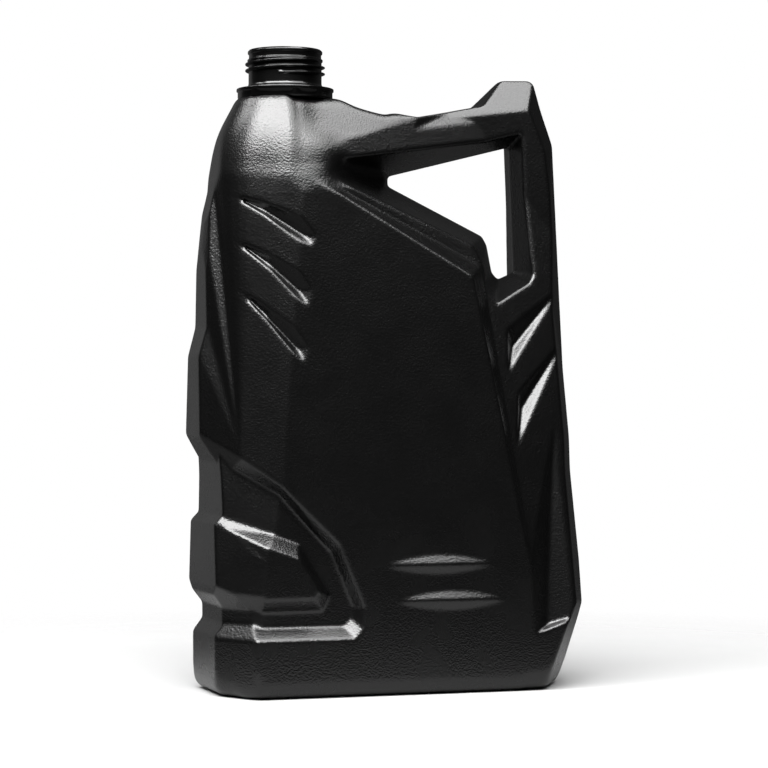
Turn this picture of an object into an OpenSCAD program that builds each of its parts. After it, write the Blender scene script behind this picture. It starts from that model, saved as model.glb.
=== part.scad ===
// Blow-moulded jerry bottle for motor oil, about four litres, with a side handle and a screw neck.
// X runs to the handle side, the front face looks to -Y, the base stands on z = 0. Sizes are in mm.

/* [Body] */
// Overall width across both narrow sides
body_w = 205.9; // [175:0.1:236]
// Overall depth of the base, front to back
body_d = 97; // [84:0.5:112]
// Height from the ground to the underside of the neck flange
body_h = 309; // [270:1:350]
// Wall thickness of the blown shell
wall = 1.6; // [1.2:0.1:2.2]
// Depth lost at the shoulder by the backward lean of front and back
shoulder_taper = 17; // [10:0.5:22]
// Radius that softens the corners of the outline
corner_r = 5; // [2:0.5:7]
// Height of the rounded edge round the base
base_round = 9; // [5:0.5:12]
// Rise of the hollow under the base
base_rise = 3; // [1.5:0.5:5]

/* [Handle] */
// Depth of the slanted handle face behind the front panel for each 100 mm
handle_slant = 25; // [20:0.5:27]
// Thickness of the grip, front to back
grip_d = 30; // [27:0.5:34]
// Depth of the channel along the panel edge
channel_d = 3; // [1.5:0.5:4]

/* [Relief] */
// Depth of the corner recess below the front face
recess_d = 6.5; // [4:0.5:8]
// Depth of the three claw grooves
claw_d = 4; // [2.5:0.5:5.5]
// Depth of the two gills and the long wedge on the handle side
gill_d = 5; // [3:0.5:6.5]
// Height of the two grip ribs
rib_h = 2.2; // [1.2:0.2:3]

/* [Neck] */
// Outside diameter of the neck below the thread
neck_d = 38.2; // [34:0.2:42]
// Height of the neck above the flange underside
neck_h = 25.2; // [23:0.2:32]
// Diameter of the bore through the neck
bore_d = 32.4; // [28:0.2:33]
// Height that the thread stands out of the neck
thread_h = 1.75; // [1.2:0.05:2.2]
// Rise of the thread in one turn
thread_pitch = 3.3; // [2.9:0.1:3.6]
// Turns of the thread
thread_turns = 2.25; // [1.5:0.05:2.5]
// How far the flange stands out of the neck
flange_out = 6.3; // [4.5:0.1:8]
// Height of the flange
flange_h = 4.7; // [3.5:0.1:5.5]

/* [Hidden] */
$fn = 96;
far = 700;
// The shape points below were laid out on a body of these sizes and follow the sizes above.
base_w = 205.9;
base_d = 97;
base_h = 309;
mid_x = 1.66;
fx = body_w / base_w;
fy = body_d / base_d;
fz = body_h / base_h;
lean = shoulder_taper / 2 / base_h;
panel_y = base_d / 2;
neck_x = (-52.7 - mid_x) * fx;
flange_r = neck_d / 2 + flange_out;
dome_r = 41 * fy;
slant = handle_slant / 100;

// Front face depth at a height, and the slanted handle face that leaves it along the line edge_a to edge_b
function face(z) = -panel_y + lean * z;
edge_a = [-52.8, 269.2];
edge_b = [67.3, 65];
edge_n = [edge_a[1] - edge_b[1], edge_b[0] - edge_a[0]] / norm(edge_b - edge_a);
function off_edge(x, z) = (x - edge_a[0]) * edge_n[0] + (z - edge_a[1]) * edge_n[1];
function slanted_face(x, z) = face(z) + slant * off_edge(x, z);
function handle_face(x, z) = min(-grip_d / 2, slanted_face(x, z));

// Layout point to real point, plain, on the front face and on the handle face with a step inwards
function at(x, y, z) = [(x - mid_x) * fx, y * fy, z * fz];
function on_face(x, z, in = 0) = at(x, face(z) + in, z);
function on_slant(x, z, in = 0) = at(x, slanted_face(x, z) + in, z);
function on_handle(x, z, in = 0) = at(x, handle_face(x, z) + in, z);
function unit(v) = v / norm(v);
function back(p) = [p[0], -p[1], p[2]];

// Half space bounded by the plane through three points, on the side of the point inner, moved in by t
module half(tri, inner, t = 0) {
  n0 = unit(cross(tri[1] - tri[0], tri[2] - tri[0]));
  n = n0 * (inner - tri[0]) > 0 ? -n0 : n0;
  e1 = unit(cross(n, abs(n[2]) < 0.8 ? [0, 0, 1] : [1, 0, 0]));
  e2 = cross(n, e1);
  p = tri[0] - n * t;
  multmatrix([
    [e1[0], e2[0], n[0], p[0]],
    [e1[1], e2[1], n[1], p[1]],
    [e1[2], e2[2], n[2], p[2]],
    [0, 0, 0, 1]
  ])
    translate([-far, -far, -2 * far])
      cube([2 * far, 2 * far, 2 * far]);
}

// The same for a plane on the front and its twin on the back
module both(tri, inner, t = 0) {
  intersection() {
    half(tri, inner, t);
    half([for (p = tri) back(p)], back(inner), t);
  }
}

// Intersection of several front planes, or of front planes with their twins
module wedge(planes, inner, t = 0) {
  intersection_for(p = planes)
    half(p, inner, t);
}
module block(planes, inner, t = 0) {
  intersection_for(p = planes)
    both(p, inner, t);
}

// Space cut out of the front (s below 0) or its twin on the back, bounded by planes moved out by t
module facing(s, planes, inner, t) {
  wedge(s < 0 ? planes : [for (tri = planes) [for (p = tri) back(p)]], s < 0 ? inner : back(inner), -t);
}

// Polygon moved in by t, corner by corner
function left_of(v) = [-v[1], v[0]];
function inset(pts, t) =
  let (n = len(pts))
  [for (i = [0:n - 1])
    let (
      a = unit(pts[i] - pts[(i + n - 1) % n]),
      b = unit(pts[(i + 1) % n] - pts[i]),
      m = left_of(a) + left_of(b)
    )
    pts[i] + m * (2 * t / (m * m))];

// Polygon with each corner rounded to the radius r, or to less where a side is short
function rounded(pts, r, steps = 4) =
  let (n = len(pts))
  [for (i = [0:n - 1])
    let (
      p = pts[i],
      u = pts[(i + n - 1) % n] - p,
      v = pts[(i + 1) % n] - p,
      half_turn = acos(max(-1, min(1, unit(u) * unit(v)))) / 2,
      cut = min(r / tan(half_turn), 0.42 * norm(u), 0.42 * norm(v)),
      rr = cut * tan(half_turn),
      c = p + unit(unit(u) + unit(v)) * (rr / sin(half_turn)),
      a = p + unit(u) * cut - c,
      turn = (180 - 2 * half_turn) * (cross(-u, v) > 0 ? 1 : -1)
    )
    for (k = [0:steps])
      let (w = turn * k / steps)
      c + [a[0] * cos(w) - a[1] * sin(w), a[0] * sin(w) + a[1] * cos(w)]];

// Front outline, anticlockwise from the foot of the left side
outline = [for (p = [
  [-86, 0], [92, 0], [96.8, 5], [103.4, 36], [104.6, 66], [100.8, 117], [96.8, 205], [94.6, 262],
  [93.6, 287], [85, 320.5], [83, 322.6], [66.5, 322.2], [53.2, 307.6], [13.4, 299.5], [-20, 305.5],
  [-27, 309], [-78.2, 309], [-85.6, 295.3], [-88.4, 281], [-89.8, 269], [-92.3, 257], [-96.9, 237],
  [-96.9, 189], [-101, 174], [-101.5, 100], [-96.5, 45], [-96.5, 12]
]) [(p[0] - mid_x) * fx, p[1] * fz]];

module outline_solid(t) {
  rotate([90, 0, 0])
    linear_extrude(height = 2 * far, center = true)
      polygon(rounded(inset(outline, t), corner_r));
}

core = at(0, 0, 150);

// Faces that bound the whole body: front, corner bevels on the handle side, rounded foot
front_plane = [on_face(0, 0), on_face(50, 0), on_face(0, 200)];
top_bevels = [
  [at(78.3, -15, 304.6), at(85.8, -15, 283.5), at(93.7, -7, 287)],
  [at(89.4, -46.2, 37.1), on_face(78, 10.8), at(104.5, -20, 36)]
];
post_bevels = [
  [at(85.8, -15, 283.5), at(89, -15, 257.6), at(93.8, -7, 287)],
  [at(89, -15, 257.6), at(88.3, -20.7, 199.1), at(96.8, -9, 204)]
];
low_bevel = [at(88.3, -20.7, 199.1), at(93, -41, 64.8), at(106, -18, 66)];
function foot(a, b) = [at(a, face(0) + b, 0), at(a + 20, face(0) + b, 0)];
foot_planes = [
  concat(foot(0, base_round * 0.29), [on_face(0, base_round)]),
  concat(foot(0, base_round), [at(0, face(0), base_round * 0.29)])
];

// Panel: cut back along the handle by a steep wall on two sides
panel_walls = [
  [on_face(-51.3, 266.4), on_face(32.8, 218), on_face(35.6, 222.7, 9)],
  [on_face(38, 208.5), on_face(67.3, 65), on_face(44, 209.7, 9)]
];

// Handle frame: slanted face, channel floors beside the panel, sloped top of the grip
frame_plane = [on_slant(0, 290), on_slant(80, 290), on_slant(80, 120)];
grip_plane = [at(0, -grip_d / 2 / fy, 0), at(9, -grip_d / 2 / fy, 0), at(0, -grip_d / 2 / fy, 9)];
channels = [
  [on_slant(-30, 261.5), on_slant(47, 221), on_face(35.6, 213.5, 11 + channel_d)],
  [on_slant(50.5, 203.4), on_slant(67.2, 65), on_face(44, 204, 11 + channel_d)]
];
slant_top = [on_slant(-51.6, 283.2), on_slant(5.2, 291.8), at(8, -19.5, 298.3)];
grip_top = [at(62.4, -15, 303.8), at(76.7, -15, 305.6), at(81, -5, 320)];

// Shoulder that runs down from the neck to the grip
shoulder_plane = [at(-50, -35, 284), at(6, -24.5, 297), at(-34, -19.5, 309)];
shoulder_end = [at(12, -23, 0), at(36, -11, 0), at(12, -23, 9)];

// Left part: the dome under the neck, the flat zone that turns back to the narrow side,
// and the fan of narrow facets down its corner
dome_edge = [at(-52.7, -60, 100), at(-52.7, -60, 300), at(-47, 0, 200)];
fan = at(-85.5, -37, 125.3);
crease_low = on_face(-66, 122);
crease_top = on_face(-54, 266);
ridge = [at(-89.3, -9.4, 256.3), at(-96.5, -9.8, 235.4), at(-96.2, -13.6, 188.5), at(-99.9, -13.4, 172.6),
  at(-100.3, -16.6, 133.7)];
zone_z = 262 * fz;
zone_turn = [24, 76];
function zone_arc(w) = let (r = dome_r - 1.6 * w / zone_turn[1]) [neck_x - r * sin(w), -r * cos(w), zone_z];
function cone_planes(apex, from, to, count) =
  let (step = (to - from) / count)
  [for (i = [0:count - 1]) [apex, zone_arc(from + step * i), zone_arc(from + step * (i + 1))]];
zone_front = [
  [crease_low, crease_top, zone_arc(zone_turn[0])],
  [crease_low, fan, zone_arc(zone_turn[0])]
];
zone_side = cone_planes(fan, zone_turn[0], zone_turn[1], 6);
fan_facets = [for (i = [0:3]) [fan, ridge[i], ridge[i + 1]]];
foot_bevel = [at(-95.5, -25, 0), at(-95.5, -25, 50), on_face(-80.8, 25)];
pad_bevel = [at(-97.4, -27.5, 70), on_face(-75.2, 75.2, 0.6), on_face(-77.4, 53.6, 0.6)];

// Level slice of space between two heights of the layout
module slice(z0, z1) {
  translate([-far, -far, z0 * fz])
    cube([2 * far, 2 * far, (z1 - z0) * fz]);
}

module dome(t) {
  h = body_h;
  translate([neck_x, 0, 0])
    rotate_extrude()
      polygon([
        [0, -1],
        [dome_r + 40, -1],
        [dome_r + 12 - t, h * 0.45],
        [dome_r - t, h - 47 * fz],
        [dome_r - 2.6 - t, h - 37 * fz],
        [dome_r - 4.3 - t, h - 25 * fz],
        [dome_r - 7.2 - t, h - 13 * fz],
        [dome_r - 10.4 - t, h - 6.5 * fz],
        [flange_r - 0.2 - t, h],
        [0, h]
      ]);
}

module left_part(t) {
  intersection() {
    dome(t);
    union() {
      intersection() {
        slice(99, 400);
        block(zone_front, core, t);
        union() {
          block(zone_side, core, t);
          intersection() {
            both(fan_facets[0], core, t);
            union() {
              both(fan_facets[1], core, t);
              block([fan_facets[2], fan_facets[3]], core, t);
            }
          }
        }
      }
      intersection() {
        slice(34, 106);
        both(pad_bevel, core, t);
      }
      intersection() {
        slice(-10, 40);
        both(foot_bevel, core, t);
      }
    }
  }
}

// Right part: panel, slanted handle frame beside it, grip slab and shoulder
module right_part(t) {
  block(panel_walls, core, t);
  for (channel = channels)
    block([frame_plane, channel, slant_top], core, t);
  intersection() {
    block([grip_plane, grip_top], core, t);
    half([at(8, 0, 0), at(8, 9, 0), at(8, 0, 9)], at(60, 0, 0), 0);
  }
  intersection() {
    block([shoulder_plane, frame_plane, shoulder_end], core, t);
    half([at(-54, 0, 273), at(-54, 9, 273), at(16, 0, 284)], at(0, 0, 400), 0);
  }
}

// Whole body before the recesses and the handle opening
module body(t) {
  intersection() {
    outline_solid(t);
    block(concat([front_plane], top_bevels, foot_planes), core, t);
    union() {
      block(post_bevels, core, t);
      both(low_bevel, core, t);
    }
    half([[0, 0, 0], [9, 0, 0], [0, 9, 0]], core, t);
    union() {
      intersection() {
        both(dome_edge, at(-90, 0, 150), t);
        left_part(t);
      }
      intersection() {
        half([at(-53.5, 0, 0), at(-53.5, 9, 0), at(-53.5, 0, 9)], core, t);
        right_part(t);
      }
      intersection() {
        half([at(-60, 0, 0), at(-60, 9, 0), at(-60, 0, 9)], core, 0);
        half([at(-47, 0, 0), at(-47, 9, 0), at(-47, 0, 9)], at(-90, 0, 0), 0);
        left_part(t);
        right_part(t);
      }
    }
  }
}

// Corner recess: three cutters for side, corner and front, stopped by a floor, with a raised pad in it
floor_planes = [
  [on_face(-50, 90, recess_d), on_face(-20, 90, recess_d), on_face(-50, 40, recess_d)],
  [at(-93.2, -24.5, 106), on_face(-67.3, 99, recess_d), on_face(-75.8, 43.7, recess_d)],
  [at(-92.2, 0, 40), at(-92.2, 9, 40), at(-93.4, 0, 119)]
];
recess_in = at(-75, -70, 75);
ridge_q = at(-93.3, -17.5, 119.1);
fan_foot = at(-85.5, -37, 122);
side_top = [at(-101.5, 0, 133.6), at(-101.5, 9, 133.6), ridge_q];
side_ledge = [at(-96.5, 0, 31), at(-96.5, 9, 31), at(-92, 0, 36.8)];
corner_top = [ridge[4], fan_foot, ridge_q];
corner_ledge = [at(-95.5, -25, 30), on_face(-80.8, 30), at(-87, -31.5, 36.8)];
front_ledge = [on_face(-40, 30), on_face(-80, 30), on_face(-40, 36, recess_d)];
band_tops = [
  [fan_foot, on_face(-66.2, 107.2), at(-77, -30.2, 107.3)],
  [on_face(-66.2, 107.2), on_face(-40, 81.5), on_face(-52.5, 85.9, recess_d)]
];
recess_walls = [
  [on_face(-35.4, 75.4), on_face(-24.4, 48.3), on_face(-29, 46.4, recess_d)],
  [on_face(-23.4, 44), on_face(-24.8, 34), on_face(-29.2, 42, recess_d)],
  [on_face(-23.6, 36), on_face(-29.6, 29.4), on_face(-31.6, 38, recess_d)]
];
pad_planes = [
  [on_face(-60, 60, 0.6), on_face(-50, 60, 0.6), on_face(-60, 70, 0.6)],
  [at(-97.4, 0, 60), at(-97.4, 9, 60), at(-97.4, 0, 70)],
  [on_face(-74.8, 76.2), on_face(-60.2, 71), on_face(-70.3, 83.2, recess_d)],
  [at(-97.4, -27.5, 87), on_face(-74.8, 76.2), on_face(-70.3, 83.2, recess_d)],
  [at(-97.4, 0, 88.2), at(-97.4, 9, 88.2), at(-92.4, 0, 93.4)],
  [on_face(-56.6, 67.6), on_face(-49.3, 55.8), on_face(-43.8, 57.7, recess_d)],
  [on_face(-50.6, 52.6), on_face(-41.2, 49.5, recess_d), on_face(-44.4, 43.6, recess_d)],
  [on_face(-51.7, 51.6), on_face(-75.9, 51.4), on_face(-76.1, 43.6, recess_d)],
  [at(-97.4, -27.5, 52.2), on_face(-75.9, 51.4), on_face(-76.1, 43.6, recess_d)],
  [at(-97.4, 0, 52.6), at(-97.4, 9, 52.6), at(-92.4, 0, 45.8)]
];

module floor_solid(t) {
  block(floor_planes, core, t);
}

module recess(t) {
  difference() {
    intersection() {
      union() {
        half(side_top, recess_in, -t);
        for (s = [-1, 1]) {
          facing(s, [corner_top], recess_in, t);
          for (top = band_tops)
            facing(s, concat([top], recess_walls), recess_in, t);
        }
      }
      union() {
        half(side_ledge, recess_in, -t);
        for (s = [-1, 1], ledge = [corner_ledge, front_ledge])
          facing(s, [ledge], recess_in, t);
      }
    }
    floor_solid(t);
    block(pad_planes, at(-60, 0, 62), t);
  }
}

// Handle opening: funnels from the front and the back that meet in the middle
upper_wall = [on_handle(2.3, 280.6), on_handle(60.3, 289.9), at(36, 0, 277.3)];
right_wall = [on_handle(74.8, 271.3), on_handle(78, 216.5), at(73, 0, 249)];
lower_wall = [on_handle(-22.7, 258.8), on_handle(44.6, 231.6), at(30, 0, 251.9)];
left_end = [at(4, 0, 260), at(4, 0, 280), at(-1, -8, 268)];
top_corner = [on_handle(65.6, 290.3), on_handle(74.3, 282.2), at(66.5, 0, 279.6)];
valley = at(-3, -8, 267.4);
tip = on_handle(-41.2, 270.6);
slot_left = [on_handle(46.7, 228.7), on_handle(50.1, 203.1), at(61.2, 0, 226)];
slot_foot = [on_handle(76.6, 213.9), on_handle(55.8, 202.2), at(67.4, 0, 216.8)];
slot_corner_l = [on_handle(50, 206), on_handle(53.5, 202.4), at(63.2, 0, 219)];
slot_corner_r = [on_handle(78.2, 218), on_handle(75.5, 213.8), at(72.4, 0, 218.2)];
elbow = [on_handle(41, 234), on_handle(48, 222), at(56.6, 0, 239.4)];
funnels = [
  [upper_wall, right_wall, lower_wall, left_end, top_corner],
  [upper_wall, right_wall, lower_wall, [tip, valley, at(0, -11, 275)], [tip, valley, at(-2, -9, 262.5)]],
  [upper_wall, right_wall, top_corner, slot_left, slot_foot, slot_corner_l, slot_corner_r],
  [upper_wall, right_wall, top_corner, elbow, slot_foot, slot_corner_l, slot_corner_r]
];
funnel_in = at(58, -6, 256);

module handle_opening(t) {
  for (planes = funnels, s = [-1, 1])
    facing(s, planes, funnel_in, t);
}

// Claw grooves in two stretches: tip, middle of the valley, deepest point, upper edge at the middle and
// further on, lower edge at the middle and further on, two points on the blunt end
claws = [
  [at(-86, -19.6, 256.3), at(-72.6, -31.6, 248.3), on_face(-55.1, 236.3, claw_d), at(-72.6, -33.8, 251.2),
    at(-55.1, -41.8, 243.8), at(-72.6, -34.4, 246), at(-61.5, -40, 236.3),
    on_face(-48.1, 234.4), on_face(-50.4, 229.6)],
  [at(-85.6, -24, 233), at(-70, -35.6, 220.4), on_face(-56.9, 207.6, claw_d), at(-70, -37.5, 224.2),
    at(-56.1, -42.6, 215.8), at(-70, -37.6, 217.5), at(-61.3, -41.9, 206.4),
    on_face(-51.4, 204.6), on_face(-52.2, 200.4)],
  [at(-85.2, -28.4, 208.5), at(-72, -36.2, 194.6), on_face(-58.4, 178.5, claw_d), at(-72, -38.2, 197.2),
    at(-58.7, -43.4, 187.1), at(-72, -38.4, 191.4), at(-65.8, -41.5, 182.6),
    on_face(-53.4, 176.9), on_face(-54.8, 171.3)]
];
function upright(p, q) = [p, q, q + [0, 9, 0]];
module claw(c, s, t) {
  split = [c[1], c[1] + [0, 9, 0], c[1] + [0, 0, 9]];
  outside = c[2] + [0, -30, 4];
  intersection() {
    facing(s, [[c[0], c[1], c[3]], [c[0], c[1], c[5]], upright(c[0], c[3]), upright(c[0], c[5])], outside, t);
    half(split, c[0], -0.2 - t);
  }
  intersection() {
    facing(s,
      [[c[2], c[3], c[4]], [c[2], c[5], c[6]], [c[2], c[7], c[8]], upright(c[3], c[4]), upright(c[5], c[6])],
      outside, t);
    half(split, c[2], -0.2 - t);
  }
}

// Gills: two ends of the upper edge, two of the left edge, the far end of the lower edge, the deepest point
gills = [
  [on_slant(86.9, 207), on_slant(63.3, 190.3), on_slant(60.5, 186.6), on_slant(59.5, 165.2),
    on_slant(87.5, 204), on_slant(64.5, 179, gill_d)],
  [on_slant(87.5, 177.9), on_slant(67.4, 157.5), on_slant(65.2, 154.2), on_slant(62.5, 126.4),
    on_slant(87.1, 171.9), on_slant(68, 147, gill_d)]
];
module gill(g, s, t) {
  facing(s, [[g[0], g[1], g[5]], [g[2], g[3], g[5]], [g[3], g[4], g[5]]], g[5] + [1, -30, 0], t);
}

// Long wedge at the foot of the handle side
wedge_low = at(77.5, -47.5 + gill_d, 33.6);
wedge_top = on_slant(85.2, 140.1);
long_wedge = [
  [wedge_top, on_slant(67.2, 65.7), wedge_low],
  [wedge_top, at(88.6, -41.4, 66.8), wedge_low],
  [on_face(74.6, 31.9), at(86.4, -47.3, 36), wedge_low]
];

module grooves(t) {
  for (s = [-1, 1]) {
    for (c = claws)
      claw(c, s, t);
    for (g = gills)
      gill(g, s, t);
    facing(s, long_wedge, wedge_low + [0, -30, 8], t);
  }
}

// Grip ribs: each the overlap of two leaning cylinders that meet in a crest
rib_centres = [[17, 66.8], [23.2, 48.4]];
rib_half_l = 31 * fx;
rib_half_w = 5.1 * fz;

module grip_ribs() {
  slope = atan(rib_h / rib_half_w);
  sag = rib_half_w * sin(slope);
  r = (rib_half_l * rib_half_l + sag * sag) / 2 / sag;
  for (s = [-1, 1], c = rib_centres) {
    f = on_face(c[0], c[1]);
    translate([f[0], -s * f[1], f[2]])
      intersection() {
        intersection_for(up = [-1, 1])
          translate([0, 0, up * rib_half_w])
            rotate([up * s * slope, 0, 0])
              translate([0, -s * r, 0])
                cylinder(h = 80, r = r, center = true, $fn = 720);
        translate([-rib_half_l - 2, -6, -2 * rib_half_w])
          cube([2 * rib_half_l + 4, 12, 4 * rib_half_w]);
      }
  }
}

// Hollow under the base, set in from the edge
module base_hollow(t) {
  in = 17;
  translate([0, 0, -20 + base_rise + t])
    linear_extrude(height = 20)
      polygon(rounded(inset([
        [-98 * fx, -panel_y * fy], [92 * fx, -panel_y * fy],
        [92 * fx, panel_y * fy], [-98 * fx, panel_y * fy]
      ], in - t), 12, 8));
}

module shell() {
  difference() {
    union() {
      body(0);
      grip_ribs();
    }
    recess(0);
    handle_opening(0);
    grooves(0);
    base_hollow(0);
    difference() {
      body(wall);
      recess(wall);
      handle_opening(wall);
      grooves(wall);
      base_hollow(wall);
    }
  }
}

// Screw neck: flange with a sloped top, tube with a bead under the rim, right-hand thread
neck_r = neck_d / 2;
bead_z = neck_h - 4.4;

module neck_turned() {
  translate([neck_x, 0, body_h])
    rotate_extrude()
      polygon([
        [bore_d / 2 - 1, -1],
        [flange_r - 1, -1],
        [flange_r, 0],
        [flange_r, flange_h],
        [neck_r, flange_h + 3],
        [neck_r, bead_z - 0.8],
        [neck_r + 0.6, bead_z - 0.2],
        [neck_r + 0.6, bead_z + 0.4],
        [neck_r - 0.2, bead_z + 1],
        [neck_r - 0.2, neck_h - 2.4],
        [neck_r + 0.3, neck_h - 1.9],
        [neck_r + 0.3, neck_h - 0.8],
        [neck_r - 0.6, neck_h],
        [bore_d / 2 - 1, neck_h]
      ]);
}

module thread() {
  steps = round(36 * thread_turns);
  crest = 0.35;
  root = thread_pitch * 0.3;
  ring = [for (i = [0:steps])
    let (
      w = -116 + 360 * thread_turns * i / steps,
      z = body_h + 11.8 + thread_pitch * thread_turns * i / steps,
      h = thread_h * min(1, i / 4 + 0.06, (steps - i) / 8 + 0.06)
    )
    for (q = [[-1, -root], [h, -crest], [h, crest], [-1, root]])
      [neck_x + (neck_r + q[0]) * cos(w), (neck_r + q[0]) * sin(w), z + q[1]]];
  faces = concat(
    [[3, 2, 1, 0], [for (k = [0:3]) 4 * steps + k]],
    [for (i = [0:steps - 1], k = [0:3])
      [4 * i + k, 4 * i + (k + 1) % 4, 4 * i + 4 + (k + 1) % 4, 4 * i + 4 + k]]
  );
  polyhedron(ring, faces, convexity = 6);
}

module bottle() {
  color("#1c1c1e")
    difference() {
      union() {
        shell();
        neck_turned();
        thread();
      }
      translate([neck_x, 0, body_h - 12])
        cylinder(h = neck_h + 13, d = bore_d);
    }
}

bottle();
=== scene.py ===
import math

import bmesh
import bpy
import numpy as np
import openvdb as vdb
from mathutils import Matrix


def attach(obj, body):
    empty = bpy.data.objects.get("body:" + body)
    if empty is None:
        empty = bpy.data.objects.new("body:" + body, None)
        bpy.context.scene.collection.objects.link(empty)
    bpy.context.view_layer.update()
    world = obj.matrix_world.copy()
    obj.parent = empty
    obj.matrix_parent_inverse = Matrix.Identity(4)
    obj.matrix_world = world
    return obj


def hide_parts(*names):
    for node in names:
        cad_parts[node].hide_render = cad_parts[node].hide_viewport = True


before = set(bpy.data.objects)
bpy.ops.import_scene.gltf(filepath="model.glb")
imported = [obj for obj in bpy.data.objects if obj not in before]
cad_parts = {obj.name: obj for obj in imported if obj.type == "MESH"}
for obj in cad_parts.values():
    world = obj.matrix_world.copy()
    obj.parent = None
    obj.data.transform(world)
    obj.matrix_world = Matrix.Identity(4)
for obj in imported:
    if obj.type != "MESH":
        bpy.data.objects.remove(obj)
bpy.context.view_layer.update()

# Body skin: one blow-moulded shell of high-density polyethylene. The mould rounds every edge by
# a millimetre or two and stretches the skin smoothly over the corner, so the outer skin of the
# CAD solid is turned into a distance field, mended, softened, and meshed again.
MM = 0.001
skin_top = 307.6 * MM
lid_lift = 9 * MM
cell = 0.7 * MM
band = 8


# Cuts off all that stands above a level on the neck's half of the bottle
def cut_under_neck(mesh, level):
    faces = [f for f in mesh.faces if max(v.co.x for v in f.verts) < 0]
    edges = {e for f in faces for e in f.edges}
    points = {v for f in faces for v in f.verts}
    bmesh.ops.bisect_plane(
        mesh, geom=list(points) + list(edges) + faces, plane_co=(0, 0, level), plane_no=(0, 0, 1))
    above = []
    for face in mesh.faces:
        middle = face.calc_center_median()
        if middle.z > level and middle.x < 0:
            above.append(face)
    bmesh.ops.delete(mesh, geom=above, context="FACES")


# Groups of faces that hang together
def islands(mesh):
    left = set(mesh.faces)
    found = []
    while left:
        seed = left.pop()
        group = [seed]
        stack = [seed]
        while stack:
            for edge in stack.pop().edges:
                for face in edge.link_faces:
                    if face in left:
                        left.discard(face)
                        group.append(face)
                        stack.append(face)
        found.append(group)
    return found


def width(faces):
    across = [v.co.x for f in faces for v in f.verts]
    return max(across) - min(across)


# With its neck cut off, the solid's outer and inner skins come apart, and the outer one is wider
shell = bmesh.new()
shell.from_mesh(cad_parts["bottle"].data)
bmesh.ops.remove_doubles(shell, verts=shell.verts, dist=0.5e-6)
cut_under_neck(shell, skin_top)
outer_skin = set(max(islands(shell), key=width))
shell.faces.index_update()
shell.faces.ensure_lookup_table()
outer = shell.copy()
outer.faces.ensure_lookup_table()
inner_skin = [outer.faces[f.index] for f in shell.faces if f not in outer_skin]
bmesh.ops.delete(outer, geom=inner_skin, context="FACES")
shell.free()

# The opening is raised and closed by a lid well above the cut, because a field needs a closed skin
rim = [e for e in outer.edges if e.is_boundary]
grown = bmesh.ops.extrude_edge_only(outer, edges=rim)["geom"]
raised = [g for g in grown if isinstance(g, bmesh.types.BMVert)]
bmesh.ops.translate(outer, verts=raised, vec=(0, 0, lid_lift))
bmesh.ops.contextual_create(outer, geom=[e for e in outer.edges if e.is_boundary])
bmesh.ops.triangulate(outer, faces=outer.faces[:])
outer.verts.index_update()
corners = np.array([v.co[:] for v in outer.verts], dtype=np.float32)
triangles = np.array([[v.index for v in f.verts] for f in outer.faces], dtype=np.uint32)
outer.free()

lattice = vdb.createLinearTransform(voxelSize=cell)
solid = vdb.FloatGrid.createLevelSetFromPolygons(
    corners, triangles=triangles, transform=lattice, halfWidth=band)
low, high = solid.evalActiveVoxelBoundingBox()
field = np.empty([high[i] - low[i] + 1 for i in range(3)], dtype=np.float32)
solid.copyToArray(field, ijk=low)

# Places in the field in millimetres, with the depth folded so that front and back stay alike
xs, ys, zs = ((low[i] + np.arange(field.shape[i])) * cell / MM for i in range(3))
xs, ys, zs = xs[:, None, None], np.abs(ys)[None, :, None], zs[None, None, :]


# A shape is given by its distances in millimetres, negative inside it. The largest of several
# distances is the shape that they have in common.
def largest(*values):
    most = values[0]
    for value in values[1:]:
        most = np.maximum(most, value)
    return most


def filled(shape):
    return np.minimum(field, shape.astype(np.float32) * MM)


def kept_within(shape):
    return np.maximum(field, shape.astype(np.float32) * MM)


# The ledge over the base block runs on round the bevelled corner. Its top slopes up and inward
# from the narrow side, from the bevel and from the front, each at its own rise.
ledge_z = 30
ledge_foot = 15
ledge_end = -56
bevel_rise = 1.6
from_side = xs + 98.2
from_bevel = 0.840 * (xs + 97.2) - 0.542 * (ys - 25.0)
from_front = 48.5 - 0.0275 * zs - ys
outline = largest(-from_side, -from_bevel, -from_front)
slopes = [(zs - ledge_z - rise * depth) / math.hypot(1, rise)
          for depth, rise in ((from_side, 1.29), (from_bevel, bevel_rise), (from_front, 0.92))]
field = filled(largest(outline, *slopes, xs - ledge_end, ledge_foot - zs))

# The foot turns under in one round, without touching the shallow hollow of the base
foot_r = 6.5
foot_depth = 11
foot_top = 22
foot_end = 62
below = np.maximum(foot_r - zs, 0)
foot = np.sqrt(np.maximum(outline + foot_r, 0) ** 2 + below ** 2) - foot_r
field = filled(largest(foot, -outline - foot_depth, zs - foot_top, xs - foot_end))

# The groove between the ledge and the pad keeps its depth on the bevelled corner. Both its walls
# are divided by their own slant, so that they count true distances.
groove_top = 52
groove_depth = 5
lower_wall = (ledge_z + bevel_rise * from_bevel - zs) / 1.89
upper_wall = (zs - groove_top + 1.36 * from_bevel) / 1.69
field = kept_within(-largest(lower_wall, upper_wall, from_bevel - groove_depth))


# Distance to the plane through three points of the front, counted toward a fourth point
def beyond(a, b, c, outside):
    a, b, c = (np.array(point) for point in (a, b, c))
    n = np.cross(b - a, c - a)
    n = n / np.linalg.norm(n)
    n = n if n @ (np.array(outside) - a) > 0 else -n
    return n[0] * (xs - a[0]) + n[1] * (-ys - a[1]) + n[2] * (zs - a[2])


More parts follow.
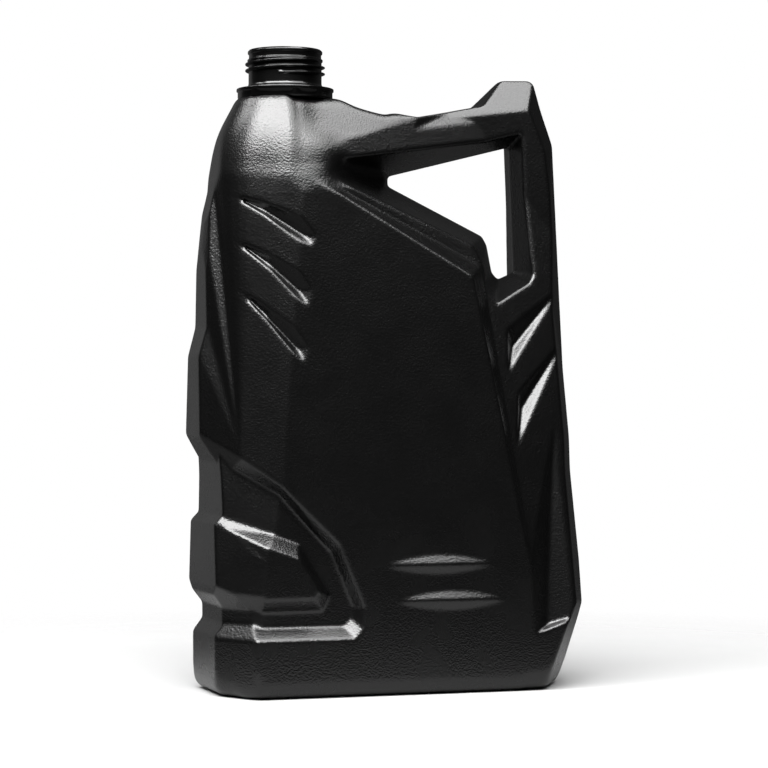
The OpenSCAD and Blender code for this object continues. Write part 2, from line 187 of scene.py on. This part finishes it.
# The upper bevel of the pad keeps its width up to the narrow side
pad_x = -99.06
pad_end = -78
pad_bottom = 70
pad_inner_y = 16
corner_inset = 0.3
upper_bevel = beyond((pad_x, -27.5, 87), (-93.7, -25.2, 93.6), (-72, -39.7, 83.2), (-90, -60, 120))
corner_face = beyond((pad_x, -27.5, 70), (-76.9, -47.0, 75.2), (-79.1, -47.6, 53.6), (-120, -60, 70))
side_bevel = beyond((pad_x, 0, 88.2), (pad_x, 9, 88.2), (-94.06, 0, 93.4), (-99, 0, 120))
field = filled(largest(
    upper_bevel, corner_face + corner_inset, side_bevel,
    pad_x - xs, pad_bottom - zs, xs - pad_end, pad_inner_y - ys))

# The dome under the neck is one smooth bell, and the shoulder beside it a rounded saddle. Each
# lets go of the handle and of the faces below it by a slope, so that it leaves no step there.
neck_x = -54.36
neck_base = 309.0
below_neck = (60, 47, 40, 33, 25, 17, 10, 5, 0, -9)
bell_r = (43.4, 40.6, 39.3, 37.8, 36.0, 33.4, 30.4, 27.8, 25.0, 25.0)
reach_cells = 9
window = 2 * reach_cells + 1
bell = np.interp(zs.ravel(), [neck_base - d for d in below_neck], bell_r)
bell = np.convolve(np.pad(bell, reach_cells, mode="edge"), np.full(window, 1 / window), "valid")
from_axis = np.sqrt((xs - neck_x) ** 2 + ys ** 2)
past_dome = np.maximum(xs + 49.5 + 0.1 * (60 - ys), 0)
under_dome = np.maximum(255 - zs, 0)
dome = (from_axis - bell[None, None, :]) * 0.95 - 1.3 * past_dome - 1.2 * under_dome

beside_neck = (20, 25.4, 27.3, 30.2, 35, 41.2, 52, 66, 76)
saddle_z = (309.5, 308.4, 306.9, 305.2, 303.4, 301.8, 299.4, 297.4, 296.6)
past_saddle = np.maximum(xs + 4, 0)
saddle = (zs - np.interp(xs - neck_x, beside_neck, saddle_z) - 1.5 * past_saddle) * 0.95
field = kept_within(largest(dome, saddle))


# A bell-shaped blur of the field, which rounds edges and folds alike
def soften(values, sigma):
    reach = int(math.ceil(2.6 * sigma))
    weights = np.exp(-0.5 * (np.arange(-reach, reach + 1) / sigma) ** 2)
    weights /= weights.sum()
    for axis in range(3):
        pads = [(0, 0)] * 3
        pads[axis] = (reach, reach)
        padded = np.pad(values, pads, mode="edge")
        total = np.zeros_like(values)
        for k, weight in enumerate(weights):
            part = [slice(None)] * 3
            part[axis] = slice(k, k + values.shape[axis])
            total += np.float32(weight) * padded[tuple(part)]
        values = total
    return values


# Rises smoothly from 0 to 1 between two values
def ramp(values, start, end):
    t = np.clip((values - start) / (end - start), 0, 1)
    return t * t * (3 - 2 * t)


# Edges soften by under a millimetre, more at the foot, on the dome and on the ridge of the
# shoulder, and most in the fold where the shoulder leaves the dome
edge_softness = 0.8 * MM
loose_softness = 2.6 * MM
fold_softness = 4.5 * MM
fold_bottom = 246
sharp = soften(field, edge_softness / cell)
blurred = soften(field, loose_softness / cell)
at_foot = 1 - ramp(zs, 6, 15)
at_ridge = ramp(zs - 0.152 * (xs + 53), 285, 290) * ramp(xs, -62, -54) * (1 - ramp(xs, 0, 14))
at_dome = ramp(zs, 256, 264) * (1 - ramp(xs, -38, -28))
loose = largest(at_foot, at_ridge, at_dome)
field = (sharp + (blurred - sharp) * loose).astype(np.float32)
upper = int(np.searchsorted(zs.ravel(), fold_bottom))
rounder = soften(field[:, :, upper:], fold_softness / cell)
at_fold = ramp(xs, -62, -55) * (1 - ramp(xs, -40, -24)) * ramp(zs[:, :, upper:], 264, 274)
field[:, :, upper:] += ((rounder - field[:, :, upper:]) * at_fold).astype(np.float32)
soft = vdb.FloatGrid(band * cell)
soft.copyFromArray(field, ijk=low)
soft.transform = lattice


# Meshes the field at a depth under the skin, opens it at a level under the neck and thins it
def skin_at(depth, name, level, count, outward):
    verts, tris, quads = soft.convertToPolygons(isovalue=-depth, adaptivity=0.0)
    turn = -1 if outward else 1
    full = bpy.data.meshes.new(name + "_full")
    full.from_pydata(verts.tolist(), [], tris[:, ::turn].tolist() + quads[:, ::turn].tolist())
    opened = bmesh.new()
    opened.from_mesh(full)
    cut_under_neck(opened, level)
    if outward:
        bmesh.ops.recalc_face_normals(opened, faces=opened.faces[:])
    opened.to_mesh(full)
    opened.free()
    full.calc_loop_triangles()
    piece = bpy.data.objects.new(name, full)
    bpy.context.collection.objects.link(piece)
    thin = piece.modifiers.new("thin", "DECIMATE")
    thin.ratio = min(1.0, count / len(full.loop_triangles))
    thinned = piece.evaluated_get(bpy.context.evaluated_depsgraph_get())
    reduced = bpy.data.meshes.new_from_object(thinned)
    piece.modifiers.clear()
    piece.data = reduced
    bpy.data.meshes.remove(full)
    reduced.name = name
    return piece


# Directions in which the field rises at the given places, as the normals of the smooth skin
def rise_at(spots):
    rises = np.gradient(field)
    places = spots / cell - np.array(low)
    base = np.clip(np.floor(places).astype(int), 0, np.array(field.shape) - 2)
    part = places - base
    normals = np.zeros_like(places)
    for corner in range(8):
        step = np.array([corner & 1, corner >> 1 & 1, corner >> 2 & 1])
        weight = np.prod(np.where(step, part, 1 - part), axis=1)
        index = tuple((base + step).T)
        for axis in range(3):
            normals[:, axis] += weight * rises[axis][index]
    return normals / (np.linalg.norm(normals, axis=1)[:, None] + 1e-12)


flange_seat = 309.4 * MM
body_triangles = 190000
body = skin_at(0.0, "body_skin", flange_seat, body_triangles, outward=True)
spots = np.empty(len(body.data.vertices) * 3)
body.data.vertices.foreach_get("co", spots)
spots = spots.reshape(-1, 3)
normals = rise_at(spots)

# The narrow sides bulge by a millimetre between the pad and the shoulder
side_swell = 1.2 * MM
between = ramp(spots[:, 2], 0.110, 0.135) * (1 - ramp(spots[:, 2], 0.285, 0.31))
near_side = ramp(np.abs(spots[:, 0]), 0.062, 0.09)
spots[:, 0] += np.sign(spots[:, 0]) * side_swell * near_side * between
body.data.vertices.foreach_set("co", spots.ravel())
body.data.polygons.foreach_set("use_smooth", [True] * len(body.data.polygons))
body.data.normals_split_custom_set_from_vertices(normals.tolist())


# Turns an sRGB hex colour into the linear values that a socket takes
def linear(code):
    parts = [int(code[i:i + 2], 16) / 255 for i in (1, 3, 5)]
    return [c / 12.92 if c <= 0.04045 else ((c + 0.055) / 1.055) ** 2.4 for c in parts] + [1.0]


# Adds a node with its settings and links. An underscore in a setting stands for a space.
def add(tree, kind, links=None, **settings):
    node = tree.nodes.new(kind)
    for key, value in settings.items():
        if hasattr(node, key):
            setattr(node, key, value)
        else:
            node.inputs[key.replace("_", " ")].default_value = value
    for socket, source in (links or {}).items():
        tree.links.new(source, node.inputs[socket])
    return node


# Black polyethylene: carbon-black masterbatch, a satin skin with the fine leather grain that the
# etched mould leaves on it, slightly uneven in gloss. Scales count repeats in a metre: the grain
# is 0.87 mm wide, bent in waves of 0.71 mm, and a patch of gloss is 18 mm wide.
grain_scale = 1150.0
grain_height = 0.24 * MM
bend_scale = 1400.0
bend_reach = 0.6 * MM
gloss_scale = 55.0
hdpe = bpy.data.materials.new("hdpe_black")
hdpe.use_nodes = True
tree = hdpe.node_tree
tree.nodes.clear()
place = add(tree, "ShaderNodeTexCoord")
waves = add(tree, "ShaderNodeTexNoise", {"Vector": place.outputs["Object"]}, Scale=bend_scale, Detail=2.0)
bent = add(tree, "ShaderNodeVectorMath", {0: waves.outputs["Color"]}, operation="SCALE")
bent.inputs["Scale"].default_value = bend_reach
shifted = add(
    tree, "ShaderNodeVectorMath", {0: place.outputs["Object"], 1: bent.outputs[0]}, operation="ADD")
grain = add(
    tree, "ShaderNodeTexVoronoi", {"Vector": shifted.outputs[0]}, feature="SMOOTH_F1", Scale=grain_scale)
relief = add(
    tree, "ShaderNodeBump", {"Height": grain.outputs["Distance"]}, Strength=0.5, Distance=grain_height)
sheen = add(tree, "ShaderNodeTexNoise", {"Vector": place.outputs["Object"]}, Scale=gloss_scale, Detail=3.0)
gloss = add(tree, "ShaderNodeMapRange", {"Value": sheen.outputs["Fac"]}, To_Min=0.24, To_Max=0.3)
plastic = add(
    tree, "ShaderNodeBsdfPrincipled", {"Normal": relief.outputs[0], "Roughness": gloss.outputs[0]},
    Base_Color=linear("#030303"), IOR=1.5)
add(tree, "ShaderNodeOutputMaterial", {"Surface": plastic.outputs[0]})
body.data.materials.clear()
body.data.materials.append(hdpe)
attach(body, "root")
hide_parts("bottle")

# Inner face of the same wall, 1.6 mm inside the outer one and of the same black polyethylene.
# Only blown air shaped it. It is seen only through the mouth, so it has fewer faces.
wall = 1.6 * MM
lining_top = 306.9 * MM
lining_triangles = 40000
lining = skin_at(wall, "inner_face", lining_top, lining_triangles, outward=False)
lining.data.materials.clear()
lining.data.materials.append(hdpe)
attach(lining, "root")

# Neck finish: formed in one go with the body against polished steel, so it is smoother and
# glossier. A flange with ratchet steps and a thin lip, a plain stretch, one helical thread, two
# beads and a rounded mouth.
neck_axis = neck_x * MM
neck_r = 19.1
neck_h = 25.2
bore_r = 16.2
flange_r = 25.4
flange_h = 4.7
step_h = 0.6
step_run = 14
step_angles = (-149, -96, -64, 31, 84, 116)
wall_r = flange_r - step_h
turns = 192


# Rounds the corners of a path with the given radii
def fillet(points, radii, steps=5):
    path = []
    for i, (p, r) in enumerate(zip(points, radii)):
        if r == 0 or i in (0, len(points) - 1):
            path.append(p)
            continue
        a, b, c = (np.array(points[j], dtype=float) for j in (i - 1, i, i + 1))
        u = (a - b) / np.linalg.norm(a - b)
        v = (c - b) / np.linalg.norm(c - b)
        half = math.acos(float(np.clip(u @ v, -1, 1))) / 2
        back = min(r / math.tan(half), 0.49 * np.linalg.norm(a - b), 0.49 * np.linalg.norm(c - b))
        start, end = b + u * back, b + v * back
        for k in range(steps + 1):
            t = k / steps
            path.append(tuple((1 - t) ** 2 * start + 2 * t * (1 - t) * b + t * t * end))
    return path


profile = fillet(
    [(bore_r, -2.0), (wall_r - 0.7, -1.0), (wall_r, 0.0), (wall_r, flange_h - 1.6),
     (flange_r, flange_h - 1.3), (flange_r, flange_h), (neck_r, flange_h + 1.2),
     (neck_r, neck_h - 6.6), (neck_r + 0.6, neck_h - 6.0), (neck_r + 0.6, neck_h - 5.2),
     (neck_r - 0.2, neck_h - 4.6), (neck_r - 0.2, neck_h - 2.6), (neck_r + 0.4, neck_h - 2.0),
     (neck_r + 0.4, neck_h - 0.9), (neck_r - 0.5, neck_h), (bore_r, neck_h), (bore_r, -1.7)],
    [0, 0.3, 0.3, 0, 0.2, 0.5, 2.2, 0.4, 0.4, 0.4, 0.4, 0.4, 0.4, 0.5, 0.6, 0.6, 0])
ring = []
for r, z in profile:
    on_wall = abs(r - wall_r) < 0.02 and z >= 0
    for i in range(turns):
        angle = 360 * i / turns
        past_step = min((angle - step) % 360 for step in step_angles)
        grip = step_h * max(0, 1 - past_step / step_run) if on_wall else 0
        ring.append((neck_axis + (r + grip) * MM * math.cos(math.radians(angle)),
                     (r + grip) * MM * math.sin(math.radians(angle)), (neck_base + z) * MM))
faces = []
for j in range(len(profile) - 1):
    lower, higher = j * turns, (j + 1) * turns
    for i in range(turns):
        after = (i + 1) % turns
        faces.append([lower + i, lower + after, higher + after, higher + i])

# The thread rises out of the neck at its start and sinks back into it at its end
thread_turns = 2.25
thread_angle = -116
thread_z = 11.8
pitch = 3.3
height = 1.75
lead_in = 14
lead_out = 20
blunt = 0.02
steps = int(96 * thread_turns)
section = fillet(
    [(-0.6, -1.25), (0.0, -1.05), (1.0, -0.32), (1.0, 0.32), (0.0, 1.05), (-0.6, 1.25)],
    [0, 0.3, 0.3, 0.3, 0.3, 0], 4)
first = len(ring)
for i in range(steps + 1):
    angle = math.radians(thread_angle + 360 * thread_turns * i / steps)
    level = neck_base + thread_z + pitch * thread_turns * i / steps
    risen = min(1.0, i / lead_in + blunt, (steps - i) / lead_out + blunt)
    swell = math.sin(math.pi / 2 * risen) * height
    for out, up in section:
        r = (neck_r + (out * swell if out > 0 else out)) * MM
        ring.append((neck_axis + r * math.cos(angle), r * math.sin(angle), (level + up) * MM))
n = len(section)
for i in range(steps):
    here, there = first + i * n, first + (i + 1) * n
    faces += [[here + k, there + k, there + k + 1, here + k + 1] for k in range(n - 1)]
finish_mesh = bpy.data.meshes.new("neck_finish")
finish_mesh.from_pydata(ring, [], faces)
turned = bmesh.new()
turned.from_mesh(finish_mesh)
bmesh.ops.recalc_face_normals(turned, faces=turned.faces[:])
turned.to_mesh(finish_mesh)
turned.free()
finish_mesh.polygons.foreach_set("use_smooth", [True] * len(finish_mesh.polygons))

# The same polyethylene against polished steel: almost no grain and a tighter gloss
polished = hdpe.copy()
polished.name = "hdpe_polished_neck"
for node in polished.node_tree.nodes:
    if node.type == "BUMP":
        node.inputs["Strength"].default_value = 0.05
    if node.type == "MAP_RANGE":
        node.inputs["To Min"].default_value = 0.16
        node.inputs["To Max"].default_value = 0.22
finish_mesh.materials.append(polished)
neck = bpy.data.objects.new("neck_finish", finish_mesh)
bpy.context.collection.objects.link(neck)
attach(neck, "root")

# Floor: a seamless sheet of pale matt paper that fades into the white background. Other rays see painted
# shaded copies of it, darker than the camera sees it: a painted pool of light near the bottle that turns to
# painted shade further out, which keeps the lower front black.
half_floor = 0.6
floor_mesh = bpy.data.meshes.new("floor")
floor_mesh.from_pydata(
    [(x * half_floor, y * half_floor, 0) for x, y in ((-1, -1), (1, -1), (1, 1), (-1, 1))],
    [], [[0, 1, 2, 3]])
floor = bpy.data.objects.new("floor", floor_mesh)
bpy.context.collection.objects.link(floor)
paper = bpy.data.materials.new("paper")
paper.use_nodes = True
sheet = paper.node_tree
sheet.nodes.clear()
spot = add(sheet, "ShaderNodeTexCoord")
apart = add(sheet, "ShaderNodeVectorMath", {0: spot.outputs["Object"]}, operation="LENGTH")
fade = add(sheet, "ShaderNodeMapRange", {"Value": apart.outputs["Value"]}, From_Min=0.28, From_Max=0.5)
ray = add(sheet, "ShaderNodeLightPath")
seen = ray.outputs["Is Camera Ray"]
hidden = add(sheet, "ShaderNodeMath", {0: fade.outputs[0], 1: seen}, operation="MULTIPLY")
pale = add(sheet, "ShaderNodeBsdfDiffuse", Color=linear("#969696"))
# Painted light and shade: a lighter copy of the paper near the bottle and a painted shaded copy further out,
# seen only by rays other than the camera's.
near_paper_painted_light = add(sheet, "ShaderNodeBsdfDiffuse", Color=linear("#808080"))
far_paper_painted_shade = add(sheet, "ShaderNodeBsdfDiffuse", Color=linear("#3c3c3c"))
painted_shade_fade = add(sheet, "ShaderNodeMapRange", {"Value": apart.outputs["Value"]}, From_Min=0.13, From_Max=0.26)
painted_light_pool = add(sheet, "ShaderNodeMixShader", {0: painted_shade_fade.outputs[0], 1: near_paper_painted_light.outputs[0], 2: far_paper_painted_shade.outputs[0]})
matt = add(sheet, "ShaderNodeMixShader", {0: seen, 1: painted_light_pool.outputs[0], 2: pale.outputs[0]})
clear = add(sheet, "ShaderNodeBsdfTransparent")
blend = add(sheet, "ShaderNodeMixShader", {0: hidden.outputs[0], 1: matt.outputs[0], 2: clear.outputs[0]})
add(sheet, "ShaderNodeOutputMaterial", {"Surface": blend.outputs[0]})
floor_mesh.materials.append(paper)

# Studio: white to the camera, but dim behind the bottle and nearly black on the camera's side,
# which keeps the front black. Soft boxes give the light: a wide key high at the left, smaller
# ones high at the right, at the far left and overhead, and a weak one behind.
camera_side = (-0.309, -0.951, 0.0)
plain_white = (1.0, 1.0, 1.0, 1.0)
world = bpy.data.worlds.new("studio")
bpy.context.scene.world = world
world.use_nodes = True
sky = world.node_tree
sky.nodes.clear()
around = add(sky, "ShaderNodeTexCoord")
toward = add(sky, "ShaderNodeVectorMath", {0: around.outputs["Generated"]}, operation="DOT_PRODUCT")
toward.inputs[1].default_value = camera_side
strength = add(
    sky, "ShaderNodeMapRange", {"Value": toward.outputs["Value"]},
    From_Min=-0.6, From_Max=-0.1, To_Min=0.05, To_Max=0.008)
look = add(sky, "ShaderNodeLightPath")
room = add(sky, "ShaderNodeBackground", {"Strength": strength.outputs[0]}, Color=plain_white)
white = add(sky, "ShaderNodeBackground", Color=plain_white, Strength=1.0)
mixed = add(
    sky, "ShaderNodeMixShader",
    {0: look.outputs["Is Camera Ray"], 1: room.outputs[0], 2: white.outputs[0]})
add(sky, "ShaderNodeOutputWorld", {"Surface": mixed.outputs[0]})


# A rectangular lamp that faces its target, equally bright at any size
def soft_box(name, where, target, wide, tall, radiance):
    lamp = bpy.data.lights.new(name, "AREA")
    lamp.shape = "RECTANGLE"
    lamp.size = wide
    lamp.size_y = tall
    lamp.energy = radiance * math.pi * wide * tall
    holder = bpy.data.objects.new(name, lamp)
    bpy.context.collection.objects.link(holder)
    holder.location = where
    x, y, z = (b - a for a, b in zip(where, target))
    holder.rotation_euler = (math.atan2(math.hypot(x, y), -z), 0, math.atan2(-x, y))


# A place so many degrees round the bottle from its front, and above it
def around_bottle(azimuth, elevation, reach):
    a, e = math.radians(azimuth), math.radians(elevation)
    return (reach * math.cos(e) * math.sin(a), -reach * math.cos(e) * math.cos(a), 0.2 + reach * math.sin(e))


soft_box("key", around_bottle(-46, 52, 1.5), (-0.03, 0, 0.2), 1.8, 0.9, 22)
soft_box("front_high", around_bottle(22, 46, 1.5), (0, 0, 0.2), 1.0, 0.7, 8)
soft_box("left_back", around_bottle(-160, 6, 1.3), (0, 0, 0.17), 0.8, 1.0, 0.17)
soft_box("left_high", around_bottle(-118, 44, 1.4), (-0.08, 0, 0.1), 0.4, 0.4, 10)
soft_box("overhead", around_bottle(40, 75, 1.3), (0, 0, 0.2), 1.0, 0.7, 9)

# Camera: level, a little under half the height of the bottle, 18 degrees round to its left and
# 1.44 m from its middle, with the long lens that fits the photo.
view = bpy.data.cameras.new("camera")
view.lens = 127.6
view.sensor_width = 36
view.clip_end = 30
eye = bpy.data.objects.new("camera", view)
bpy.context.collection.objects.link(eye)
eye.location = (-0.4451, -1.3700, 0.15976)
eye.rotation_euler = (math.radians(90), 0, math.radians(-18))
bpy.context.scene.camera = eye
bpy.context.scene.view_settings.view_transform = "Standard"
